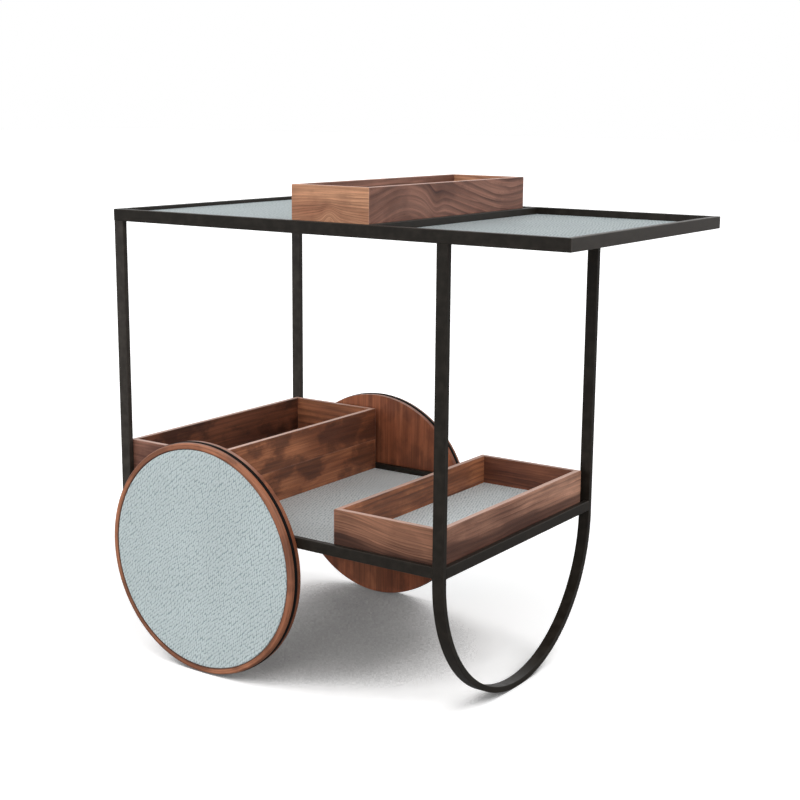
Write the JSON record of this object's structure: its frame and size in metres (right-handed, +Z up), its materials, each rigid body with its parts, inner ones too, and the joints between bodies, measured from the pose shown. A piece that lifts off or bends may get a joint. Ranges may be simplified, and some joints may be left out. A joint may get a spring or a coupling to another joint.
{
  "type": "cheese trolley",
  "caption": "Two-wheeled cheese trolley: slim bronze frame with a bent hoop leg, leather-lined overhanging deck, lower shelf, and lift-off walnut trays and box.",
  "frame": {"origin": "Middle of the footprint at floor level (bounding box centre in X and Y, lowest point in Z).", "axes": "+X along the deck from the wheel end to the overhanging end, +Y from the side flush with the legs to the side where the deck overhangs them, +Z up."},
  "size_m": [0.8709, 0.552, 0.8323],
  "materials": {
    "frame_bronze": "dark bronze patina, satin",
    "deck_leather": "pale blue-grey leather, fine pebble grain",
    "wheel_leather": "pale blue-grey leather, fine pebble grain",
    "liner_leather": "pale blue-grey leather, fine pebble grain",
    "walnut": "walnut, satin oil",
    "wheel_walnut": "walnut, satin oil",
    "plywood": "plain board, hidden",
    "tyre_rubber": "black, matte",
    "steel": "turned and zinc-plated",
    "bush_brass": "turned"
  },
  "bodies": {
    "frame": {"axle": "steel", "axle_bracket_far": "frame_bronze", "axle_bracket_near": "frame_bronze", "axle_end_screws": "steel", "deck_ledges": "frame_bronze", "deck_left_board": "plywood", "deck_left_leather": "deck_leather", "deck_right_board": "plywood", "deck_right_leather": "deck_leather", "hoop_leg": "frame_bronze", "left_leg_far": "frame_bronze", "left_leg_near": "frame_bronze", "shelf_board": "plywood", "shelf_leather": "deck_leather", "shelf_ledges": "frame_bronze", "shelf_rail_far": "frame_bronze", "shelf_rail_left": "frame_bronze", "shelf_rail_near": "frame_bronze", "shelf_rail_right": "frame_bronze", "top_crossbar": "frame_bronze", "top_rail_far": "frame_bronze", "top_rail_left": "frame_bronze", "top_rail_near": "frame_bronze", "top_rail_right": "frame_bronze"},
    "deep_box": {"deep_box_bottom": "walnut", "deep_box_liner": "liner_leather", "deep_box_wall_far": "walnut", "deep_box_wall_left": "walnut", "deep_box_wall_near": "walnut", "deep_box_wall_right": "walnut"},
    "lower_tray": {"lower_tray_bottom": "walnut", "lower_tray_liner": "liner_leather", "lower_tray_wall_far": "walnut", "lower_tray_wall_left": "walnut", "lower_tray_wall_near": "walnut", "lower_tray_wall_right": "walnut"},
    "top_tray": {"top_tray_bottom": "walnut", "top_tray_liner": "liner_leather", "top_tray_wall_far": "walnut", "top_tray_wall_left": "walnut", "top_tray_wall_near": "walnut", "top_tray_wall_right": "walnut"},
    "wheel_far": {"wheel_far_bush": "bush_brass", "wheel_far_core": "plywood", "wheel_far_inner_disc": "wheel_walnut", "wheel_far_leather": "wheel_leather", "wheel_far_outer_disc": "wheel_walnut", "wheel_far_tyre": "tyre_rubber"},
    "wheel_near": {"wheel_near_bush": "bush_brass", "wheel_near_core": "plywood", "wheel_near_inner_disc": "wheel_walnut", "wheel_near_leather": "wheel_leather", "wheel_near_outer_disc": "wheel_walnut", "wheel_near_tyre": "tyre_rubber"}
  },
  "joints": [
    {"name": "wheel_near_spin", "type": "hinge", "parent": "frame", "child": "wheel_near", "pos_m": [-0.2345, -0.265, 0.201], "axis": [0, 1, 0], "continuous": true},
    {"name": "wheel_far_spin", "type": "hinge", "parent": "frame", "child": "wheel_far", "pos_m": [-0.2345, 0.253, 0.201], "axis": [0, 1, 0], "continuous": true},
    {"name": "top_tray_lift", "type": "slide", "parent": "frame", "child": "top_tray", "axis": [0, 0, 1], "range_m": [0, 0.25]},
    {"name": "lower_tray_lift", "type": "slide", "parent": "frame", "child": "lower_tray", "axis": [0, 0, 1], "range_m": [0, 0.42]},
    {"name": "deep_box_lift", "type": "slide", "parent": "frame", "child": "deep_box", "axis": [0, 0, 1], "range_m": [0, 0.37]}
  ]
}
